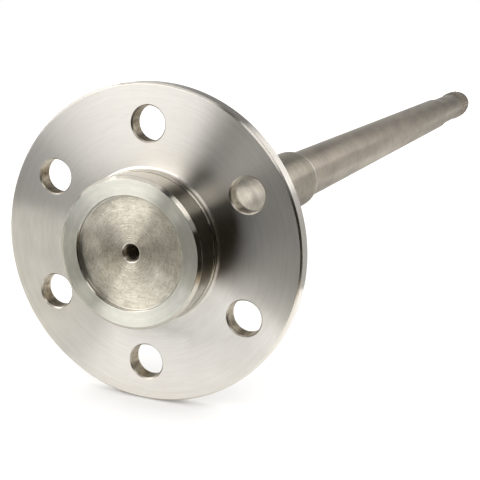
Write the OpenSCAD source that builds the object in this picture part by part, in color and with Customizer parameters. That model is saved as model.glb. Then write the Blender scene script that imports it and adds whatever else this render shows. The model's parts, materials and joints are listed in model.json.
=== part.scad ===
// Rear axle shaft: one forged and turned steel piece.
// The shaft runs along +Y, the wheel side faces -Y, and one stud hole points to +Z.
// The origin is the centre of the stud circle on the wheel face of the flange.
// Distances along the shaft are measured from the wheel face, in millimetres.

/* [Flange] */
// Outer diameter of the flange
flange_d = 152.4; // [145:0.2:180]
// Thickness of the flange at its rim
flange_t = 8.4; // [6:0.2:14]
// Bevel on both edges of the rim
rim_bevel = 0.9; // [0.4:0.1:1.5]
// Radius of the fillet between the back of the flange and the journal
hub_fillet = 9; // [4:0.5:14]

/* [Stud holes] */
// Number of stud holes
stud_count = 6; // [4:1:8]
// Diameter of the stud circle
stud_circle_d = 114.3; // [108:0.1:120]
// Diameter of a stud hole
stud_hole_d = 16.6; // [12:0.1:18]
// Bevel at both mouths of a stud hole
stud_hole_bevel = 0.65; // [0.3:0.05:1]

/* [Pilot boss] */
// Diameter that centres the wheel
wheel_pilot_d = 71.4; // [66:0.1:76]
// Height of the boss above the wheel face
boss_h = 18.7; // [14:0.1:24]
// Bevel on the front edge of the boss
boss_bevel = 1.5; // [0.5:0.1:2.5]
// Diameter of the short land that centres the brake drum
drum_pilot_d = 72.6; // [67:0.1:80]
// Height of the drum land above the wheel face
drum_pilot_h = 3.9; // [2.5:0.1:6]
// Radius of the fillet at the foot of the boss
boss_fillet = 1.3; // [0.5:0.1:2]
// Diameter of the counterbore in the boss
recess_d = 53.2; // [40:0.2:58]
// Depth of the counterbore
recess_depth = 2.4; // [2:0.2:8]
// Radius in the corner of the counterbore
recess_fillet = 0.5; // [0.3:0.1:1.5]

/* [Shaft] */
// Diameter of the ground journal behind the flange
journal_d = 37.3; // [35:0.1:42]
// Far end of the journal
journal_end = 209; // [120:1:260]
// Diameter of the main shaft
shaft_d = 32; // [30.4:0.1:34]
// Start of the taper at the end of the main shaft
shaft_end = 703; // [500:1:740]
// Length of that taper
taper_l = 12; // [4:1:20]
// Diameter at the small end of the taper
taper_small_d = 29.8; // [29.2:0.1:30.2]
// Diameter of the neck before the spline
neck_d = 29; // [27:0.1:29.1]

/* [Spline] */
// Number of teeth
spline_teeth = 29; // [27:1:31]
// Module, pitch diameter over number of teeth
spline_module = 1.0583; // [1.05:0.0001:1.07]
// Pressure angle of the tooth flanks
pressure_angle = 30; // [25:0.5:37.5]
// Start of the splined land
spline_start = 811; // [780:1:830]
// Length of the splined land
spline_l = 36; // [30:1:60]

/* [Clip end] */
// Width of the clip groove past the spline
groove_w = 5.6; // [3:0.1:8]
// Diameter at the bottom of the clip groove
groove_d = 24; // [20:0.2:26]
// Diameter of the button past the groove
button_d = 28.6; // [27:0.1:29]
// Length of the button
button_l = 7; // [4:0.2:10]

/* [Turning centres] */
// Diameter of the centre bores
centre_d = 5.6; // [3:0.1:6]
// Diameter of the mouth of their countersinks
centre_mouth_d = 9; // [6.5:0.1:11]
// Depth of the straight bore below the countersink
centre_depth = 9; // [5:0.5:14]

/* [Hidden] */
$fn = 96;
steel = [0.68, 0.66, 0.62];

// Clearance that lets a cut pass through the skin
over = 1;
// Straight pieces in each rounded corner of the turned outline
corner_steps = 6;
// Straight pieces along each tooth flank
flank_steps = 4;
// Edge breaks on the drum land, counterbore, journal, spline and button
small_bevel = 0.4;
journal_bevel = 1;
spline_bevel = 1.4;
button_bevel = 1.2;
// Half of a 60 degree countersink and of a 118 degree drill point
countersink_half_angle = 30;
drill_half_angle = 59;

flange_r = flange_d / 2;
wheel_pilot_r = wheel_pilot_d / 2;
drum_pilot_r = drum_pilot_d / 2;
recess_r = recess_d / 2;
journal_r = journal_d / 2;
shaft_r = shaft_d / 2;
neck_r = neck_d / 2;
taper_small_r = taper_small_d / 2;
groove_r = groove_d / 2;
button_r = button_d / 2;

boss_front = -boss_h;
recess_floor = boss_front + recess_depth;
shoulder_fillet = journal_r - shaft_r - journal_bevel;
taper_end = shaft_end + taper_l;
spline_end = spline_start + spline_l;
shaft_tip = spline_end + groove_w + button_l;

// Involute spline: outer, root, pitch and base radii
spline_pitch_r = spline_module * spline_teeth / 2;
spline_outer_r = spline_module * (spline_teeth + 1) / 2;
spline_root_r = spline_module * (spline_teeth - 1.35) / 2;
spline_base_r = spline_pitch_r * cos(pressure_angle);

// Points on an arc about [r, z], from angle a0 to a1
function arc(r, z, radius, a0, a1) = [
    for (i = [0 : corner_steps])
        let (a = a0 + (a1 - a0) * i / corner_steps)
        [r + radius * cos(a), z + radius * sin(a)]
];

// Angle in degrees between an involute's start and its point at radius r
function involute(r) =
    let (a = acos(spline_base_r / r))
    tan(a) * 180 / PI - a;

// Half of the angle that the gap between two teeth takes up at radius r
function gap_half_angle(r) = 90 / spline_teeth - involute(spline_pitch_r) + involute(r);

// Outline of the boss, from the floor of its counterbore to the foot of its fillet
boss_outline = concat(
    [[0, recess_floor]],
    arc(recess_r - recess_fillet, recess_floor - recess_fillet, recess_fillet, 90, 0),
    [
        [recess_r, boss_front + small_bevel],
        [recess_r + small_bevel, boss_front],
        [wheel_pilot_r - boss_bevel, boss_front],
        [wheel_pilot_r, boss_front + boss_bevel],
        [wheel_pilot_r, -drum_pilot_h],
        [drum_pilot_r - small_bevel, -drum_pilot_h],
        [drum_pilot_r, -drum_pilot_h + small_bevel]
    ],
    arc(drum_pilot_r + boss_fillet, -boss_fillet, boss_fillet, 180, 90)
);

// Outline of the rim and the fillet behind the flange
flange_outline = concat(
    [
        [flange_r - rim_bevel, 0],
        [flange_r, rim_bevel],
        [flange_r, flange_t - rim_bevel],
        [flange_r - rim_bevel, flange_t]
    ],
    arc(journal_r + hub_fillet, flange_t + hub_fillet, hub_fillet, 270, 180)
);

// Outline of the journal, its shoulder, the main shaft and the neck
shaft_outline = concat(
    [
        [journal_r, journal_end - journal_bevel],
        [journal_r - journal_bevel, journal_end]
    ],
    arc(shaft_r + shoulder_fillet, journal_end + shoulder_fillet, shoulder_fillet, 270, 180),
    [
        [shaft_r, shaft_end],
        [taper_small_r, taper_end],
        [neck_r, taper_end + small_bevel],
        [neck_r, spline_start - spline_bevel],
        [spline_outer_r, spline_start + spline_bevel]
    ]
);

// Outline of the end of the splined land, the clip groove and the button
clip_outline = [
    [spline_outer_r, spline_end - spline_bevel],
    [spline_outer_r - spline_bevel, spline_end],
    [groove_r, spline_end],
    [groove_r, spline_end + groove_w],
    [button_r - small_bevel, spline_end + groove_w],
    [button_r, spline_end + groove_w + small_bevel],
    [button_r, shaft_tip - button_bevel],
    [button_r - button_bevel, shaft_tip],
    [0, shaft_tip]
];

module turned_body() {
    rotate_extrude()
        polygon(concat(boss_outline, flange_outline, shaft_outline, clip_outline));
}

// One stud hole along the shaft, with a bevel at each mouth
module stud_hole() {
    bore_r = stud_hole_d / 2;
    mouth_r = bore_r + stud_hole_bevel;
    translate([0, 0, -over])
        cylinder(r = bore_r, h = flange_t + 2 * over);
    translate([0, 0, -over])
        cylinder(r1 = mouth_r + over, r2 = bore_r, h = stud_hole_bevel + over);
    translate([0, 0, flange_t - stud_hole_bevel])
        cylinder(r1 = bore_r, r2 = mouth_r + over, h = stud_hole_bevel + over);
}

module stud_holes() {
    for (i = [0 : stud_count - 1])
        rotate(i * 360 / stud_count)
            translate([0, -stud_circle_d / 2, 0])
                stud_hole();
}

// A turning centre drilled along +Z from the face at z = 0
module turning_centre() {
    bore_r = centre_d / 2;
    mouth_r = centre_mouth_d / 2;
    sink_h = (mouth_r - bore_r) / tan(countersink_half_angle);
    point_h = bore_r / tan(drill_half_angle);
    translate([0, 0, -over])
        cylinder(r = bore_r, h = over + sink_h + centre_depth);
    translate([0, 0, -over])
        cylinder(r1 = mouth_r + over * tan(countersink_half_angle), r2 = bore_r, h = sink_h + over);
    translate([0, 0, sink_h + centre_depth])
        cylinder(r1 = bore_r, r2 = 0, h = point_h);
}

// The gap between two teeth, with involute flanks
module tooth_gap() {
    top_r = spline_outer_r + small_bevel;
    radii = [
        for (i = [0 : flank_steps])
            spline_root_r + (top_r - spline_root_r) * i / flank_steps
    ];
    left = [for (r = radii) r * [cos(gap_half_angle(r)), sin(gap_half_angle(r))]];
    right = [for (i = [flank_steps : -1 : 0]) [left[i][0], -left[i][1]]];
    polygon(concat(left, right));
}

module tooth_gaps() {
    for (i = [0 : spline_teeth - 1])
        rotate(i * 360 / spline_teeth)
            translate([0, 0, spline_start - spline_bevel - over])
                linear_extrude(spline_l + spline_bevel + 2 * over)
                    tooth_gap();
}

module axle_shaft() {
    color(steel)
        rotate([-90, 0, 0])
            difference() {
                turned_body();
                stud_holes();
                tooth_gaps();
                translate([0, 0, recess_floor])
                    turning_centre();
                translate([0, 0, shaft_tip])
                    mirror([0, 0, 1])
                        turning_centre();
            }
}

axle_shaft();
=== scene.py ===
"""Looks of a bare steel axle shaft: turned flange and boss, ground journal, splined end."""
import json
import math
from functools import partial

import bmesh
import bpy
import numpy as np
from mathutils import Matrix, Quaternion, Vector


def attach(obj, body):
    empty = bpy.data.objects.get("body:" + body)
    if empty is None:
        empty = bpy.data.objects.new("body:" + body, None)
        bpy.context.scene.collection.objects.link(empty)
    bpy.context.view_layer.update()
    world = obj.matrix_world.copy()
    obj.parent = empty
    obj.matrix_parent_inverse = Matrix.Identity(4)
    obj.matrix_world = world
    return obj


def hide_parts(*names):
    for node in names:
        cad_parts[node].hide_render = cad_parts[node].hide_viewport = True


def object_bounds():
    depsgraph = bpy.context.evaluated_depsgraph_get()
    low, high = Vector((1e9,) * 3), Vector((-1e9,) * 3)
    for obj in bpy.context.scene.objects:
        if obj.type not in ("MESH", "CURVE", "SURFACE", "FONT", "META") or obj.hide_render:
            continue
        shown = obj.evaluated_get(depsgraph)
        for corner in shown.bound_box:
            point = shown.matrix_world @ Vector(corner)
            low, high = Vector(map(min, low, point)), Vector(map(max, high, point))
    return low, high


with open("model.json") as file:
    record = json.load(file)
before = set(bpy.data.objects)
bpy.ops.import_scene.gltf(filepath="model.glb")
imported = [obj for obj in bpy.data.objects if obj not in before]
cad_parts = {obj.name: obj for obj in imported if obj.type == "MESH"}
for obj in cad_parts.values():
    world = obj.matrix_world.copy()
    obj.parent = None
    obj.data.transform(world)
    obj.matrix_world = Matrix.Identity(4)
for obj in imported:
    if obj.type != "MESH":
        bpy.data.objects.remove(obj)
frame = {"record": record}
cad_low, cad_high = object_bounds()

MM = 0.001
UM = 1e-6
mounts = {mount["name"]: mount for mount in frame["record"]["mounts"]}
studs = mounts["wheel_studs"]["dims"]

# Flange and stud holes, in millimetres; the shaft runs along +Y, from the wheel face at zero
FLANGE_R = min(cad_high.x, -cad_low.x, cad_high.z, -cad_low.z) / MM
FLANGE_T = 8.4
RIM_BEVEL = 0.9
HUB_FILLET = 9.0
STUD_CIRCLE_R = studs["pcd_mm"] / 2
STUD_COUNT = studs["count"]
STUD_HOLE_R = studs["hole_r_mm"]
STUD_HOLE_BEVEL = 0.65

# Pilot boss, drum land and counterbore
PILOT_R = mounts["wheel_pilot"]["dims"]["r_mm"]
BOSS_FRONT = cad_low.y / MM
BOSS_BEVEL = 1.5
DRUM_R = mounts["drum_pilot"]["dims"]["r_mm"]
DRUM_H = 3.9
BOSS_FILLET = 1.3
RECESS_R = 26.6
RECESS_DEPTH = 2.4
RECESS_FLOOR = BOSS_FRONT + RECESS_DEPTH
RECESS_FILLET = 0.5

# Journal, shaft and neck; up to the hub end, the journal is as rough as the hub, but its colour
# there is painted lighter: a painted reflection
JOURNAL_R = mounts["bearing_journal"]["dims"]["r_mm"]
HUB_END = 120.0
JOURNAL_END = 209.0
JOURNAL_BEVEL = 1.0
# Band of the lighter edge finish before the journal's end: a painted highlight
HIGHLIGHT_BAND_L = 3.2
SHAFT_R = 16.0
SHAFT_END = 703.0
TAPER_END = 715.0
TAPER_SMALL_R = 14.9
NECK_R = 14.5

# Spline, clip groove and button
SPLINE_TEETH = 29
SPLINE_MODULE = 1.0583
SPLINE_ROOT_CUT = 1.35
PRESSURE_ANGLE = math.radians(30)
SPLINE_START = 811.0
SPLINE_END = 847.0
SPLINE_BEVEL = 1.4
SPLINE_PITCH_R = SPLINE_MODULE * SPLINE_TEETH / 2
SPLINE_OUTER_R = SPLINE_MODULE * (SPLINE_TEETH + 1) / 2
SPLINE_ROOT_R = SPLINE_MODULE * (SPLINE_TEETH - SPLINE_ROOT_CUT) / 2
SPLINE_BASE_R = SPLINE_PITCH_R * math.cos(PRESSURE_ANGLE)
GROOVE_W = 5.6
GROOVE_R = 12.0
BUTTON_R = 14.3
BUTTON_BEVEL = 1.2
SHAFT_TIP = cad_high.y / MM

# Turning centres, with a lighter lip round the mouth of the front one: burnished, and painted as a
# highlight
CENTRE_R = 2.8
CENTRE_MOUTH_R = 4.5
CENTRE_DEPTH = 9.0
COUNTERSINK = math.radians(30)
DRILL_POINT = math.radians(59)
SINK_H = (CENTRE_MOUTH_R - CENTRE_R) / math.tan(COUNTERSINK)
POINT_H = CENTRE_R / math.tan(DRILL_POINT)
LIP_W = 0.25
LIP_H = 0.2

# Edge breaks
SMALL_BEVEL = 0.4
EDGE = 0.2
FINE_EDGE = EDGE / 2


# Turned outline

def outline():
    """Corners as (radius, place along the shaft, rounding, finish of the stretch that follows)."""
    bore_front = RECESS_FLOOR + SINK_H
    bore_back = SHAFT_TIP - SINK_H
    groove_end = SPLINE_END + GROOVE_W
    return [
        (0, bore_front + CENTRE_DEPTH + POINT_H, 0, "centre"),
        (CENTRE_R, bore_front + CENTRE_DEPTH, 0, "centre"),
        (CENTRE_R, bore_front, 0, "centre"),
        (CENTRE_MOUTH_R - LIP_H * math.tan(COUNTERSINK), RECESS_FLOOR + LIP_H, 0, "edge"),
        (CENTRE_MOUTH_R + LIP_W, RECESS_FLOOR, 0, "recess"),
        (RECESS_R, RECESS_FLOOR, RECESS_FILLET, "wall"),
        (RECESS_R, BOSS_FRONT + SMALL_BEVEL, FINE_EDGE, "pilot"),
        (RECESS_R + SMALL_BEVEL, BOSS_FRONT, FINE_EDGE, "boss"),
        (PILOT_R - BOSS_BEVEL, BOSS_FRONT, EDGE, "bevel"),
        (PILOT_R, BOSS_FRONT + BOSS_BEVEL, EDGE, "pilot"),
        (PILOT_R, -DRUM_H, EDGE, "pilot"),
        (DRUM_R - SMALL_BEVEL, -DRUM_H, FINE_EDGE, "pilot"),
        (DRUM_R, -DRUM_H + SMALL_BEVEL, FINE_EDGE, "pilot"),
        (DRUM_R, 0, BOSS_FILLET, "face"),
        (FLANGE_R - RIM_BEVEL, 0, EDGE, "rim"),
        (FLANGE_R, RIM_BEVEL, EDGE, "rim"),
        (FLANGE_R, FLANGE_T - RIM_BEVEL, EDGE, "rim"),
        (FLANGE_R - RIM_BEVEL, FLANGE_T, EDGE, "back"),
        (JOURNAL_R, FLANGE_T, HUB_FILLET, "hub"),
        (JOURNAL_R, HUB_END, 0, "journal"),
        (JOURNAL_R, JOURNAL_END - HIGHLIGHT_BAND_L, 0, "edge"),
        (JOURNAL_R, JOURNAL_END - JOURNAL_BEVEL, EDGE, "edge"),
        (JOURNAL_R - JOURNAL_BEVEL, JOURNAL_END, EDGE, "journal"),
        (SHAFT_R, JOURNAL_END, JOURNAL_R - JOURNAL_BEVEL - SHAFT_R, "shaft"),
        (SHAFT_R, SHAFT_END, SMALL_BEVEL, "shaft"),
        (TAPER_SMALL_R, TAPER_END, EDGE, "shaft"),
        (NECK_R, TAPER_END + SMALL_BEVEL, EDGE, "shaft"),
        (NECK_R, SPLINE_START - SPLINE_BEVEL, SMALL_BEVEL, "spline"),
        (SPLINE_OUTER_R, SPLINE_START + SPLINE_BEVEL, EDGE, "spline"),
        (SPLINE_OUTER_R, SPLINE_END - SPLINE_BEVEL, EDGE, "spline"),
        (SPLINE_OUTER_R - SPLINE_BEVEL, SPLINE_END, EDGE, "spline"),
        (GROOVE_R, SPLINE_END, EDGE, "journal"),
        (GROOVE_R, groove_end, EDGE, "journal"),
        (BUTTON_R - SMALL_BEVEL, groove_end, FINE_EDGE, "journal"),
        (BUTTON_R, groove_end + SMALL_BEVEL, FINE_EDGE, "journal"),
        (BUTTON_R, SHAFT_TIP - BUTTON_BEVEL, EDGE, "journal"),
        (BUTTON_R - BUTTON_BEVEL, SHAFT_TIP, EDGE, "recess"),
        (CENTRE_MOUTH_R, SHAFT_TIP, EDGE, "centre"),
        (CENTRE_R, bore_back, 0, "centre"),
        (CENTRE_R, bore_back - CENTRE_DEPTH, 0, "centre"),
        (0, bore_back - CENTRE_DEPTH - POINT_H, 0, "centre"),
    ]


CORNER_STEP = math.radians(15)
MIN_CORNER_STEPS = 2


def rounded(corners):
    """The outline with an arc at each rounded corner, and the finish of each stretch."""
    points, finishes = [], []
    for i, (r, y, radius, finish) in enumerate(corners):
        here = Vector((r, y))
        if radius == 0:
            points.append(here)
            finishes.append(finish)
            continue
        before = (Vector(corners[i - 1][:2]) - here).normalized()
        after = (Vector(corners[i + 1][:2]) - here).normalized()
        half = before.angle(after) / 2
        reach = radius / math.tan(half)
        centre = here + (before + after).normalized() * (radius / math.sin(half))
        start, end = here + before * reach - centre, here + after * reach - centre
        sweep = math.pi - 2 * half
        steps = max(MIN_CORNER_STEPS, round(sweep / CORNER_STEP))
        for k in range(steps + 1):
            blend = k / steps * sweep
            arm = (start * math.sin(sweep - blend) + end * math.sin(blend)) / math.sin(sweep)
            points.append(centre + arm)
            finishes.append(finish)
    return points, finishes


# Spline teeth

def involute(r):
    """Angle between the start of a flank's involute and its point at radius r."""
    a = math.acos(SPLINE_BASE_R / r)
    return math.tan(a) - a


def gap_half_angle(r):
    """Half of the angle between two tooth flanks at radius r."""
    return math.pi / 2 / SPLINE_TEETH - involute(SPLINE_PITCH_R) + involute(r)


FLANK_STEPS = 3
TOOTH_PITCH = 2 * math.pi / SPLINE_TEETH
flank_radii = np.linspace(SPLINE_ROOT_R, SPLINE_OUTER_R, FLANK_STEPS + 1)
flank_angles = np.array([gap_half_angle(r) for r in flank_radii])


def ring_angles():
    """Angles of the vertices of every ring, close enough to follow each tooth."""
    half = [*flank_angles, (flank_angles[-1] + TOOTH_PITCH / 2) / 2]
    one = [0, *half, TOOTH_PITCH / 2, *[TOOTH_PITCH - a for a in reversed(half)]]
    return np.array([i * TOOTH_PITCH + a for i in range(SPLINE_TEETH) for a in one])


def tooth_radius(angles):
    """Radius of the toothed outline at each angle."""
    from_gap = np.abs((angles + TOOTH_PITCH / 2) % TOOTH_PITCH - TOOTH_PITCH / 2)
    return np.interp(from_gap, flank_angles, flank_radii)


# Materials

# Middle of the range of a noise or a colour ramp
MIDDLE = 0.5


class Nodes:
    """Short names for making and linking shader nodes."""

    def __init__(self, tree):
        self.tree = tree

    def add(self, kind, **settings):
        node = self.tree.nodes.new(kind)
        for key, value in settings.items():
            setattr(node, key, value)
        return node

    def link(self, source, target):
        if isinstance(source, (int, float)):
            target.default_value = source
        else:
            self.tree.links.new(source, target)

    def math(self, operation, a, b=0.0):
        node = self.add("ShaderNodeMath", operation=operation)
        self.link(a, node.inputs[0])
        self.link(b, node.inputs[1])
        return node.outputs[0]

    def vector_math(self, operation, a, fixed):
        node = self.add("ShaderNodeVectorMath", operation=operation)
        self.link(a, node.inputs[0])
        node.inputs[1].default_value = fixed
        return node.outputs

    def split(self, vector):
        node = self.add("ShaderNodeSeparateXYZ")
        self.link(vector, node.inputs[0])
        return node.outputs

    def span(self, value, low, high, start, end):
        """Takes low to high to the range from start to end, and holds at both ends."""
        node = self.add("ShaderNodeMapRange")
        self.link(value, node.inputs["Value"])
        numbers = {"From Min": low, "From Max": high, "To Min": start, "To Max": end}
        for name, number in numbers.items():
            node.inputs[name].default_value = number
        return node.outputs["Result"]

    def noise(self, dimensions, socket, place, scale, detail):
        node = self.add("ShaderNodeTexNoise", noise_dimensions=dimensions)
        self.link(place, node.inputs[socket])
        node.inputs["Scale"].default_value = scale
        node.inputs["Detail"].default_value = detail
        return node.outputs["Fac"]

    def noise_1d(self, place, scale, detail):
        return self.noise("1D", "W", place, scale, detail)

    def noise_3d(self, place, scale, detail):
        return self.noise("3D", "Vector", place, scale, detail)

    def swing(self, noise, strength):
        """How far a noise is from its middle value, times a strength."""
        return self.math("MULTIPLY", self.math("SUBTRACT", noise, MIDDLE), strength)

    def mix(self, share, a, b):
        node = self.add("ShaderNodeMix", data_type="RGBA")
        self.link(share, node.inputs["Factor"])
        for value, socket in ((a, node.inputs[6]), (b, node.inputs[7])):
            if isinstance(value, tuple):
                socket.default_value = (*value, 1)
            else:
                self.link(value, socket)
        return node.outputs[2]

    def scale(self, vector, factor):
        node = self.add("ShaderNodeVectorMath", operation="SCALE")
        self.link(vector, node.inputs[0])
        self.link(factor, node.inputs["Scale"])
        return node.outputs[0]


# Rings left by the tool: detail of the noise, width of the broad ones in fine ones, and their tint
FINE_DETAIL = 3.0
BROAD_DETAIL = 2.0
BROAD_RINGS = 6
BROAD_TINT = 0.5

# Patches of colour, drawn out along a barrel, and streaks that run round the axis
PATCH_DETAIL = 4.0
BARREL_STRETCH = 0.35
STREAKS_AROUND = 7.0
STREAK_MM = 0.7
STREAK_DETAIL = 3.0

# Darkening and strong rings near the axis, by radius in millimetres
AXIS_ZONE_NEAR = 5.0
AXIS_ZONE_FAR = 18.0
RINGS_OUTSIDE = 0.2

# Painted highlight and shade on the floor of the counterbore, where its reflection fan turns: x
# and z in millimetres and change of brightness
PAINTED_SPOT_NEAR = 3.0
PAINTED_SPOT_FAR = 11.0
RECESS_PAINTED_LIGHT = [(1.5, -9.2, -0.22), (-6.5, -8.0, 0.35), (-7.4, 5.2, -0.2)]

# Small dark specks: size, range of the noise in which they appear, and shade
SPECK_MM = 0.9
SPECK_DETAIL = 1.0
SPECK_LOW = 0.58
SPECK_HIGH = 0.72
SPECK_SHADE = 0.4

# Change of roughness by streaks and patches
ROUGH_BY_STREAKS = 0.6
ROUGH_BY_PATCHES = 0.4
ROUGH_SWING = 0.08
QUARTER_TURN = 0.25


def steel(name, lay, light, dark, rough, spread, ring_mm, ring_um, grain, blotch, blotch_mm,
          specks=0.0, darkening_near_axis=0.0, ring_tint=0.6, painted_light_spots=()):
    """Machined steel with tool marks round the shaft's axis; the lay is of a face or a barrel.

    Patches (blotch), rings (ring_tint) and streaks (grain) mix light with dark. The rings stand
    ring_um high, and spread is how far all marks draw reflections out across them.
    """
    material = bpy.data.materials.new(name)
    material.use_nodes = True
    n = Nodes(material.node_tree)
    shader = material.node_tree.nodes["Principled BSDF"]
    place = n.add("ShaderNodeTexCoord").outputs["Object"]
    x, y, z = n.split(place)
    radius = n.math("SQRT", n.math("ADD", n.math("POWER", x, 2.0), n.math("POWER", z, 2.0)))
    across = radius if lay == "face" else y

    fine = n.noise_1d(across, 1 / (ring_mm * MM), FINE_DETAIL)
    broad = n.noise_1d(across, 1 / (BROAD_RINGS * ring_mm * MM), BROAD_DETAIL)
    if darkening_near_axis:
        fade = n.span(radius, AXIS_ZONE_NEAR * MM, AXIS_ZONE_FAR * MM, 1.0, RINGS_OUTSIDE)
        fine = n.math("ADD", n.swing(fine, fade), MIDDLE)
        broad = n.math("ADD", n.swing(broad, fade), MIDDLE)
    stretch = (1.0, 1.0 if lay == "face" else BARREL_STRETCH, 1.0)
    drawn_out = n.vector_math("MULTIPLY", place, stretch)[0]
    patches = n.noise_3d(drawn_out, 1 / (blotch_mm * MM), PATCH_DETAIL)
    around = n.add("ShaderNodeCombineXYZ")
    n.link(n.math("MULTIPLY", n.math("DIVIDE", x, radius), STREAKS_AROUND), around.inputs[0])
    n.link(n.math("MULTIPLY", n.math("DIVIDE", z, radius), STREAKS_AROUND), around.inputs[1])
    n.link(n.math("DIVIDE", across, STREAK_MM * MM), around.inputs[2])
    streaks = n.noise_3d(around.outputs[0], 1.0, STREAK_DETAIL)

    share = MIDDLE
    tints = ((patches, blotch), (broad, BROAD_TINT), (fine, ring_tint), (streaks, grain))
    for noise, strength in tints:
        share = n.math("ADD", share, n.swing(noise, strength))
    # Darker toward the axis: the share of the dark colour grows inside the near radius
    if darkening_near_axis:
        share = n.math("ADD", share, n.span(radius, AXIS_ZONE_NEAR * MM, AXIS_ZONE_FAR * MM, darkening_near_axis, 0.0))
    colour = n.mix(share, light, dark)
    # Painted highlight and shade: each spot lightens or darkens the colour round its middle
    for spot_x, spot_z, change in painted_light_spots:
        middle = (spot_x * MM, RECESS_FLOOR * MM, spot_z * MM)
        away = n.vector_math("DISTANCE", place, middle)["Value"]
        bright = n.span(away, PAINTED_SPOT_NEAR * MM, PAINTED_SPOT_FAR * MM, 1 + change, 1.0)
        colour = n.scale(colour, bright)
    if specks:
        spots = n.noise_3d(place, 1 / (SPECK_MM * MM), SPECK_DETAIL)
        speck_colour = tuple(SPECK_SHADE * part for part in dark)
        colour = n.mix(n.span(spots, SPECK_LOW, SPECK_HIGH, 0.0, specks), colour, speck_colour)

    n.link(colour, shader.inputs["Base Color"])
    shader.inputs["Metallic"].default_value = 1.0
    by_streaks = n.math("MULTIPLY", streaks, ROUGH_BY_STREAKS)
    marks = n.math("ADD", by_streaks, n.math("MULTIPLY", patches, ROUGH_BY_PATCHES))
    rough_low, rough_high = rough - ROUGH_SWING, rough + ROUGH_SWING
    n.link(n.span(marks, 0.0, 1.0, rough_low, rough_high), shader.inputs["Roughness"])
    shader.inputs["Anisotropic"].default_value = spread
    shader.inputs["Anisotropic Rotation"].default_value = QUARTER_TURN
    tangent = n.add("ShaderNodeTangent", direction_type="RADIAL", axis="Y")
    n.link(tangent.outputs["Tangent"], shader.inputs["Tangent"])
    bump = n.add("ShaderNodeBump")
    bump.inputs["Distance"].default_value = ring_um * UM
    n.link(n.math("ADD", fine, broad), bump.inputs["Height"])
    n.link(bump.outputs["Normal"], shader.inputs["Normal"])
    return material


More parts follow.
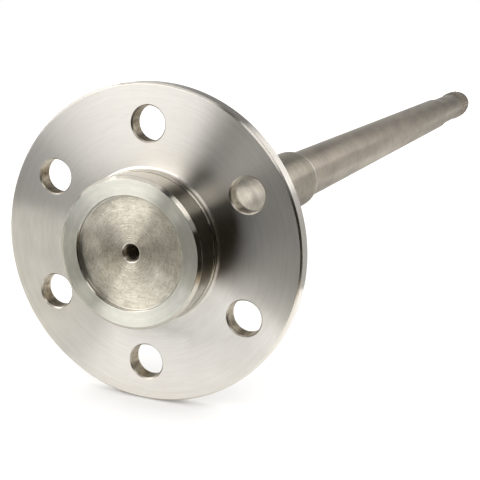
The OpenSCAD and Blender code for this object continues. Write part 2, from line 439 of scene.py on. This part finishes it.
MATERIALS = {
    "face": steel(
        "faced_steel", "face", light=(0.77, 0.73, 0.67), dark=(0.66, 0.62, 0.56),
        rough=0.33, spread=1.0, ring_mm=0.35, ring_um=2, grain=1.1, blotch=0.7, blotch_mm=14,
    ),
    "boss": steel(
        "boss_steel", "face", light=(0.74, 0.71, 0.625), dark=(0.60, 0.58, 0.497),
        rough=0.41, spread=1.0, ring_mm=0.35, ring_um=3, grain=1.1, blotch=0.9, blotch_mm=10,
    ),
    "recess": steel(
        "recess_steel", "face", light=(0.79, 0.74, 0.61), dark=(0.48, 0.43, 0.34),
        rough=0.41, spread=0.98, ring_mm=0.5, ring_um=120, grain=1.3, blotch=1.3, blotch_mm=5,
        specks=0.5, darkening_near_axis=0.5, ring_tint=2.6, painted_light_spots=RECESS_PAINTED_LIGHT,
    ),
    "wall": steel(
        "recess_wall_steel", "barrel", light=(0.66, 0.63, 0.57), dark=(0.42, 0.395, 0.35),
        rough=0.30, spread=0.3, ring_mm=0.4, ring_um=4, grain=1.0, blotch=1.0, blotch_mm=4,
    ),
    "centre": steel(
        "drilled_centre_steel", "barrel", light=(0.50, 0.44, 0.35), dark=(0.15, 0.125, 0.095),
        rough=0.36, spread=0.4, ring_mm=0.6, ring_um=90, grain=1.0, blotch=2.2, blotch_mm=2,
    ),
    "pilot": steel(
        "pilot_steel", "barrel", light=(0.48, 0.45, 0.39), dark=(0.37, 0.35, 0.30),
        rough=0.17, spread=0.6, ring_mm=0.4, ring_um=1, grain=0.9, blotch=0.6, blotch_mm=16,
    ),
    "bevel": steel(
        "bevel_steel", "barrel", light=(0.60, 0.56, 0.49), dark=(0.46, 0.43, 0.37),
        rough=0.17, spread=0.6, ring_mm=0.4, ring_um=1, grain=0.9, blotch=0.6, blotch_mm=16,
    ),
    "rim": steel(
        "rim_steel", "barrel", light=(0.77, 0.72, 0.65), dark=(0.64, 0.60, 0.54),
        rough=0.22, spread=0.6, ring_mm=0.5, ring_um=2, grain=0.9, blotch=0.6, blotch_mm=16,
    ),
    "back": steel(
        "back_steel", "face", light=(0.60, 0.57, 0.53), dark=(0.46, 0.44, 0.40),
        rough=0.42, spread=0.6, ring_mm=0.6, ring_um=6, grain=0.8, blotch=0.8, blotch_mm=12,
    ),
    "journal": steel(
        "ground_steel", "barrel", light=(0.60, 0.54, 0.43), dark=(0.37, 0.325, 0.257),
        rough=0.36, spread=0.5, ring_mm=1.2, ring_um=5, grain=1.4, blotch=1.6, blotch_mm=10,
    ),
    "shaft": steel(
        "shaft_steel", "barrel", light=(0.655, 0.588, 0.46), dark=(0.42, 0.35, 0.292),
        rough=0.35, spread=0.3, ring_mm=1.0, ring_um=1, grain=0.5, blotch=1.7, blotch_mm=10,
        ring_tint=0.3,
    ),
    "spline": steel(
        "spline_steel", "barrel", light=(0.71, 0.615, 0.505), dark=(0.475, 0.41, 0.33),
        rough=0.45, spread=0.2, ring_mm=0.8, ring_um=4, grain=1.0, blotch=1.2, blotch_mm=3,
    ),
    "bore": steel(
        "drilled_steel", "barrel", light=(0.58, 0.50, 0.375), dark=(0.22, 0.18, 0.125),
        rough=0.40, spread=0.5, ring_mm=0.5, ring_um=30, grain=1.6, blotch=2.0, blotch_mm=2,
        specks=0.4,
    ),
    # Lighter finish of the centre lip and the journal's end: burnished, with a painted highlight
    "edge": steel(
        "burnished_steel", "barrel", light=(0.82, 0.77, 0.68), dark=(0.62, 0.57, 0.49),
        rough=0.30, spread=0.3, ring_mm=0.5, ring_um=2, grain=0.8, blotch=0.8, blotch_mm=4,
    ),
    "mouth": steel(
        "hole_mouth_steel", "barrel", light=(0.68, 0.62, 0.53), dark=(0.40, 0.36, 0.30),
        rough=0.34, spread=0.3, ring_mm=0.5, ring_um=3, grain=1.0, blotch=1.6, blotch_mm=3,
    ),
    # Painted reflection: the hub stretch of the same ground journal, painted lighter
    "hub": steel(
        "hub_steel", "barrel", light=(0.80, 0.74, 0.62), dark=(0.48, 0.43, 0.35),
        rough=0.36, spread=0.4, ring_mm=1.2, ring_um=5, grain=1.4, blotch=2.2, blotch_mm=7,
    ),
}
FINISHES = list(MATERIALS)


# Meshes

def add_object(name, data):
    """Puts a new object into the scene."""
    obj = bpy.data.objects.new(name, data)
    bpy.context.scene.collection.objects.link(obj)
    return obj


def lathe(name, points, finishes, angles, toothed=False):
    """A closed solid of revolution about the Y axis; both ends of the outline lie on the axis."""
    teeth = tooth_radius(angles)
    count = len(angles)
    verts, rings = [], []
    for r, y in points:
        if r == 0:
            rings.append([len(verts)])
            verts.append((0, y * MM, 0))
            continue
        radii = np.full(count, r)
        if toothed and SPLINE_START - SPLINE_BEVEL < y < SPLINE_END + EDGE:
            radii = np.minimum(radii, teeth)
        rings.append(list(range(len(verts), len(verts) + count)))
        verts += [
            (q * math.cos(a) * MM, y * MM, q * math.sin(a) * MM) for q, a in zip(radii, angles)
        ]
    faces, tags = [], []
    for a, b, finish in zip(rings, rings[1:], finishes):
        for k in range(count):
            j = (k + 1) % count
            if len(a) == 1:
                faces.append((a[0], b[j], b[k]))
            elif len(b) == 1:
                faces.append((a[k], a[j], b[0]))
            else:
                faces.append((a[k], a[j], b[j], b[k]))
            tags.append(FINISHES.index(finish))
    mesh = bpy.data.meshes.new(name)
    mesh.from_pydata(verts, [], faces)
    mesh.polygons.foreach_set("material_index", tags)
    for finish in FINISHES:
        mesh.materials.append(MATERIALS[finish])
    mesh.update()
    return add_object(name, mesh)


def outward(obj):
    """Turns every face of a closed mesh to the outside."""
    bm = bmesh.new()
    bm.from_mesh(obj.data)
    bmesh.ops.recalc_face_normals(bm, faces=bm.faces)
    bm.to_mesh(obj.data)
    bm.free()


HOLE_SEGMENTS = 96
OVER = 1.0


def hole_cutter(turn):
    """A stud hole's drill with the bevels of both mouths, standing at its place on the circle."""
    mouth = STUD_HOLE_R + STUD_HOLE_BEVEL + OVER
    corners = [
        (0, -OVER),
        (mouth, -OVER),
        (STUD_HOLE_R, STUD_HOLE_BEVEL),
        (STUD_HOLE_R, FLANGE_T - STUD_HOLE_BEVEL),
        (mouth, FLANGE_T + OVER),
        (0, FLANGE_T + OVER),
    ]
    angles = np.linspace(0, 2 * math.pi, HOLE_SEGMENTS, endpoint=False)
    cutter = lathe("stud_drill", corners, ["mouth", "mouth", "bore", "mouth", "mouth"], angles)
    place = Vector((0, 0, STUD_CIRCLE_R * MM))
    cutter.data.transform(Matrix.Rotation(turn, 4, "Y") @ Matrix.Translation(place))
    outward(cutter)
    return cutter


def settle_modifiers(obj):
    """Replaces the mesh by what its modifiers make of it."""
    graph = bpy.context.evaluated_depsgraph_get()
    mesh = bpy.data.meshes.new_from_object(obj.evaluated_get(graph))
    obj.modifiers.clear()
    obj.data = mesh


def drill(obj, cutters):
    """Cuts the stud holes, and takes the drills away."""
    for cutter in cutters:
        boolean = obj.modifiers.new("stud_hole", "BOOLEAN")
        boolean.operation = "DIFFERENCE"
        boolean.solver = "EXACT"
        boolean.object = cutter
    settle_modifiers(obj)
    for cutter in cutters:
        bpy.data.objects.remove(cutter)


SHARP_ANGLE = math.radians(32)


def build_shaft():
    """The whole part, in place of its CAD solid."""
    points, finishes = rounded(outline())
    obj = lathe("turned_axle_shaft", points, finishes, ring_angles(), toothed=True)
    outward(obj)
    drill(obj, [hole_cutter(2 * math.pi * i / STUD_COUNT) for i in range(STUD_COUNT)])
    obj.data.polygons.foreach_set("use_smooth", [True] * len(obj.data.polygons))
    obj.data.set_sharp_from_angle(angle=SHARP_ANGLE)
    weighted = obj.modifiers.new("flat_faces_stay_flat", "WEIGHTED_NORMAL")
    weighted.keep_sharp = True
    settle_modifiers(obj)
    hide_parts("axle_shaft")
    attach(obj, "root")


# Stage

def toward(azimuth, elevation=0.0):
    """Direction in degrees: azimuth 0 is in front of the wheel face, and the left is positive."""
    turn, rise = math.radians(azimuth), math.radians(elevation)
    level = math.cos(rise)
    return Vector((-math.sin(turn) * level, -math.cos(turn) * level, math.sin(rise)))


MATT_ROUGH = 0.9


def stage_piece(name, mesh, colour):
    """Puts a matt mesh into the scene as part of the studio; gives the object and its shader."""
    material = bpy.data.materials.new(name)
    material.use_nodes = True
    shader = material.node_tree.nodes["Principled BSDF"]
    shader.inputs["Base Color"].default_value = (*colour, 1)
    shader.inputs["Roughness"].default_value = MATT_ROUGH
    shader.inputs["Specular IOR Level"].default_value = 0.0
    mesh.materials.append(material)
    obj = add_object(name, mesh)
    return obj, shader


FLOOR_SIZE = 30.0
FLOOR_COLOUR = (0.79, 0.79, 0.785)


def floor():
    """The plain pale floor that the flange stands on."""
    s, z = FLOOR_SIZE, cad_low.z
    mesh = bpy.data.meshes.new("floor")
    mesh.from_pydata([(-s, -s, z), (s, -s, z), (s, s, z), (-s, s, z)], [], [(0, 1, 2, 3)])
    stage_piece("floor", mesh, FLOOR_COLOUR)


BLACK = (0, 0, 0)
WHITE = (1, 1, 1)
BACKDROP_R = 25.0
BACKDROP_RINGS = 24
BACKDROP_SEGMENTS = 48
BACKDROP_GLOW = 1.0


def backdrop():
    """A pale dome round the floor that only the camera sees."""
    mesh = bpy.data.meshes.new("backdrop")
    bm = bmesh.new()
    bmesh.ops.create_uvsphere(
        bm, u_segments=BACKDROP_SEGMENTS, v_segments=BACKDROP_RINGS, radius=BACKDROP_R,
    )
    bm.to_mesh(mesh)
    bm.free()
    obj, shader = stage_piece("backdrop", mesh, BLACK)
    shader.inputs["Emission Color"].default_value = (*WHITE, 1)
    shader.inputs["Emission Strength"].default_value = BACKDROP_GLOW
    obj.active_material.cycles.emission_sampling = "NONE"
    obj.visible_diffuse = False
    obj.visible_glossy = False
    obj.visible_shadow = False


CARD_STEP = 2.0
CARD_FAR = 3.0
CARD_LIFT = MM


def card(name, first, last, near, rise, grey, tint=WHITE):
    """A card between two azimuths that only the steel's reflections see.

    It starts on the floor at the distance near, or near(azimuth), and climbs to the elevation
    rise, far away.
    """
    low = Vector((0, 0, cad_low.z + CARD_LIFT))
    high = Vector((0, 0, CARD_FAR * math.tan(math.radians(rise))))
    turns = np.arange(first, last + CARD_STEP / 2, CARD_STEP)
    starts = [near(a) if callable(near) else near for a in turns]
    points = [toward(a) * start + low for a, start in zip(turns, starts)]
    points += [toward(a) * CARD_FAR + high for a in turns]
    n = len(turns)
    mesh = bpy.data.meshes.new(name)
    mesh.from_pydata(points, [], [(k, k + 1, n + k + 1, n + k) for k in range(n - 1)])
    obj, _ = stage_piece(name, mesh, tuple(grey * part for part in tint))
    obj.visible_camera = False
    obj.visible_diffuse = False
    obj.visible_shadow = False


TABLE_CENTRE = Vector((-0.40, 0.15, 0))
TABLE_R = 0.52


def table_edge(azimuth):
    """Distance from the origin to the front edge of the bright part of the table."""
    along = TABLE_CENTRE.dot(toward(azimuth))
    return along + math.sqrt(along ** 2 + TABLE_R ** 2 - TABLE_CENTRE.length_squared)


RIGHT_LINE = 0.106
RIGHT_TURN = -24.3
SOFT_FROM = -26
SOFT_TO = -50


def right_edge(azimuth, shift):
    """The same on the right, where the edge is straight and soft: shift moves it outward there."""
    line = RIGHT_LINE / math.cos(math.radians(azimuth - RIGHT_TURN))
    soft = min(1.0, max(0.0, (SOFT_FROM - azimuth) / (SOFT_FROM - SOFT_TO)))
    return max(table_edge(azimuth), line) + shift * soft


step_edge = partial(right_edge, shift=-0.02)
half_edge = partial(right_edge, shift=0.01)
dark_edge = partial(right_edge, shift=0.045)
far_edge = CARD_FAR - 0.1

BROWN = (1.2, 1.0, 0.72)
WARM = (1.013, 1.006, 0.94)
COOL = (0.97, 1.0, 1.035)

# Cards as name, first and last azimuth, near edge, elevation of the far edge, grey, tint
CARDS = [
    ("right_step", -90, -26, step_edge, -1.4, 0.32, BROWN),
    ("right_half", -90, -26, half_edge, 0.0, 0.10, BROWN),
    ("far_right_flag", -90, -50, dark_edge, 15.0, 0.01, BROWN),
    ("right_flag", -50, 6, dark_edge, 15.0, 0.008, BROWN),
    ("gap_flag", -14, 6, table_edge, 45.0, 0.008, BROWN),
    ("front_flag", -50, 30, dark_edge, 6.0, 0.01),
    ("left_flag", 30, 100, table_edge, 6.0, 0.10),
    ("warm_table", 40, 110, 0.1, -1.4, 0.79, WARM),
    ("cool_table", -40, 40, 0.02, -1.43, 0.79, COOL),
    ("back_flag", -168, -130, 0.2, 1.0, 0.28),
    ("behind_near", -184, -168, 0.2, -1.43, 0.22),
    ("behind_step", -184, -168, 0.30, -1.38, 0.35),
    ("behind_middle", -184, -168, 0.43, -1.2, 0.50),
    ("behind_beyond", -184, -168, 0.55, -1.0, 0.335),
    ("behind_far", -184, -168, 0.70, -0.7, 0.25),
    ("far_card", -182, -164, far_edge, 12.0, 0.22),
    ("side_card", -164, -150, far_edge, 6.0, 0.42),
]


# Light

def softbox(name, azimuth, elevation, distance, width, height, radiance, roll=0.0, colour=WHITE):
    """A rectangular light that faces the origin and shows only in the steel."""
    data = bpy.data.lights.new(name, "AREA")
    data.shape = "RECTANGLE"
    data.size, data.size_y = width, height
    data.energy = radiance * math.pi * width * height
    data.color = colour
    obj = add_object(name, data)
    way = toward(azimuth, elevation)
    facing = (-way).to_track_quat("-Z", "Y")
    obj.location = way * distance
    obj.rotation_mode = "QUATERNION"
    obj.rotation_quaternion = facing @ Quaternion((0, 0, 1), math.radians(roll))
    obj.visible_camera = False
    obj.visible_diffuse = False


KEY_COLOUR = (0.97, 0.98, 1)

# Softboxes as name, azimuth, elevation, distance, width, height, radiance, roll, colour
SOFTBOXES = [
    ("key", 39.5, 33.5, 1.4, 1.64, 1.2, 3.1, 0, KEY_COLOUR),
    ("side", -34, 36.5, 1.5, 0.8, 0.45, 2.1, 33),
    ("right", -58.5, 46, 1.5, 0.32, 0.77, 1.5, 17),
    ("left", 93, 33, 2.0, 1.0, 1.25, 1.0),
    ("low_right", -60.5, 25, 1.5, 0.34, 0.32, 0.45),
    ("top", 48, 71, 1.4, 1.25, 0.34, 1.05, 30),
    ("back", -160.8, 19, 0.706, 0.26, 0.27, 1.05, -15),
]

FLOOR_LIGHT_ANGLE = math.radians(150)
FLOOR_LIGHT = 4.82
SHADOW_LIGHT = 0.18


def floor_light(name, energy, shadow):
    """Even light from above that the steel does not mirror."""
    data = bpy.data.lights.new(name, "SUN")
    data.energy = energy
    data.angle = FLOOR_LIGHT_ANGLE
    data.use_shadow = shadow
    add_object(name, data).visible_glossy = False


# Sky as height of the direction and grey, with a dark side where the steel mirrors a dark room
SKY = [(0.05, 1.0), (0.18, 0.62), (0.29, 0.33), (0.37, 0.23)]
DARK_SIDE = -35.0
DARK_FROM = 0.1
DARK_FULL = 0.6
DARK_SKY = 0.08


def sky():
    """World light that fades upward and toward the dark side."""
    world = bpy.data.worlds.new("studio")
    bpy.context.scene.world = world
    world.use_nodes = True
    n = Nodes(world.node_tree)
    background = world.node_tree.nodes["Background"]
    way = n.add("ShaderNodeTexCoord").outputs["Generated"]
    ramp = n.add("ShaderNodeValToRGB")
    n.link(n.split(way)["Z"], ramp.inputs[0])
    stops = ramp.color_ramp.elements
    while len(stops) < len(SKY):
        stops.new(MIDDLE)
    for stop, (height, grey) in zip(stops, SKY):
        stop.position, stop.color = height, (grey, grey, grey, 1)
    n.link(ramp.outputs[0], background.inputs["Color"])
    ahead = n.vector_math("DOT_PRODUCT", way, toward(DARK_SIDE))["Value"]
    n.link(n.span(ahead, DARK_FROM, DARK_FULL, 1.0, DARK_SKY), background.inputs["Strength"])


def studio():
    """Cards, softboxes, sky and floor lights."""
    for row in CARDS:
        card(*row)
    for row in SOFTBOXES:
        softbox(*row)
    sky()
    floor_light("floor_light", FLOOR_LIGHT, False)
    floor_light("shadow_light", SHADOW_LIGHT, True)


# Camera

CAMERA_AT = Vector((203.27, -403.12, 109.37)) * MM
CAMERA_AZIMUTH = math.radians(21.921)
CAMERA_DOWN = math.radians(11.673)
CAMERA_ROLL = math.radians(1.415)
CAMERA_LENS = 74.19
CAMERA_SENSOR = 36
CAMERA_SHIFT = (0.022, -0.056)
CAMERA_CLIP = (0.01, 100)


def camera():
    """The camera at the photo's viewing angle."""
    data = bpy.data.cameras.new("camera")
    data.lens = CAMERA_LENS
    data.sensor_width = CAMERA_SENSOR
    data.shift_x, data.shift_y = CAMERA_SHIFT
    data.clip_start, data.clip_end = CAMERA_CLIP
    flat = math.cos(CAMERA_DOWN)
    ahead = Vector((
        -math.sin(CAMERA_AZIMUTH) * flat,
        math.cos(CAMERA_AZIMUTH) * flat,
        -math.sin(CAMERA_DOWN),
    ))
    upright = ahead.to_track_quat("-Z", "Y").to_matrix().to_4x4()
    roll = Matrix.Rotation(CAMERA_ROLL, 4, "Z")
    obj = add_object("camera", data)
    obj.matrix_world = Matrix.Translation(CAMERA_AT) @ upright @ roll
    bpy.context.scene.camera = obj


build_shaft()
floor()
backdrop()
studio()
camera()
bpy.context.scene.view_settings.view_transform = "Standard"
